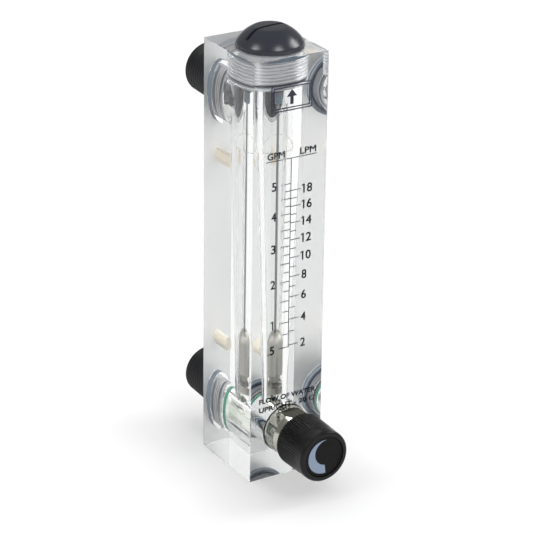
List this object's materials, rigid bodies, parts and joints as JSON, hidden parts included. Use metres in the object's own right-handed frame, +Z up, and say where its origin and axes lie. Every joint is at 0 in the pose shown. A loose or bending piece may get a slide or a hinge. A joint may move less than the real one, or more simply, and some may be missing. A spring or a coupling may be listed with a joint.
{
  "type": "panel flow meter",
  "caption": "Clear acrylic variable-area flow meter with a guided steel float, printed twin scales, rear pipe connections and a front needle valve with a ribbed knob",
  "frame": {"origin": "middle of the bottom face of the acrylic block", "axes": "+Z up along the metering bore, scale and knob face -Y, pipe connections leave at +Y, +X to the right seen from the front"},
  "size_m": [0.032, 0.0893, 0.1778],
  "materials": {
    "acrylic": "polished clear acrylic with machined bores",
    "slate_plastic": "moulded slate grey plastic, satin",
    "black_plastic": "moulded black plastic",
    "knob_plastic": "moulded black plastic with fine ribs",
    "cap_plastic": "matt black plastic",
    "mark_paint": "blue-grey paint",
    "print_ink": "dark blue-black screen print",
    "stainless_steel": "turned stainless steel",
    "nickel_plate": "nickel plate on brass",
    "brass": "turned brass",
    "black_rubber": "black rubber",
    "slate_rubber": "dark slate rubber",
    "green_rubber": "green fluoro rubber",
    "white_plastic": "white fluoropolymer"
  },
  "bodies": {
    "housing": {"block": "acrylic", "top_plug": "slate_plastic", "plug_seal": "black_rubber", "guide_rod": "stainless_steel", "float_bumper": "black_rubber", "rod_foot": "stainless_steel", "upper_adapter": "black_plastic", "lower_adapter": "black_plastic", "upper_adapter_seal": "slate_rubber", "lower_adapter_seal": "slate_rubber", "upper_insert": "brass", "lower_insert": "brass", "valve_body": "nickel_plate", "valve_seal": "green_rubber", "collar_seal": "black_rubber", "valve_seat": "white_plastic", "stem_seal_1": "black_rubber", "stem_seal_2": "black_rubber", "gland_washer": "stainless_steel", "gland_nut": "nickel_plate", "scale_lines": "print_ink"},
    "float": {"float": "stainless_steel"},
    "stem": {"valve_stem": "stainless_steel"},
    "knob": {"knob": "knob_plastic", "knob_screw": "stainless_steel", "knob_cap": "cap_plastic", "knob_mark": "mark_paint"}
  },
  "joints": [
    {"name": "float_slide", "type": "slide", "parent": "housing", "child": "float", "axis": [0, 0, 1], "range_m": [0, 0.0923]},
    {"name": "stem_travel", "type": "slide", "parent": "housing", "child": "stem", "axis": [0, -1, 0], "range_m": [0, 0.004]},
    {"name": "knob_turn", "type": "hinge", "parent": "stem", "child": "knob", "pos_m": [0, -0.035, 0.0197], "axis": [0, -1, 0], "range_deg": [0, 1440]}
  ],
  "couplings": [
    {"joint": "stem_travel", "follows": "knob_turn", "m_per_rad": 0.00015915}
  ]
}
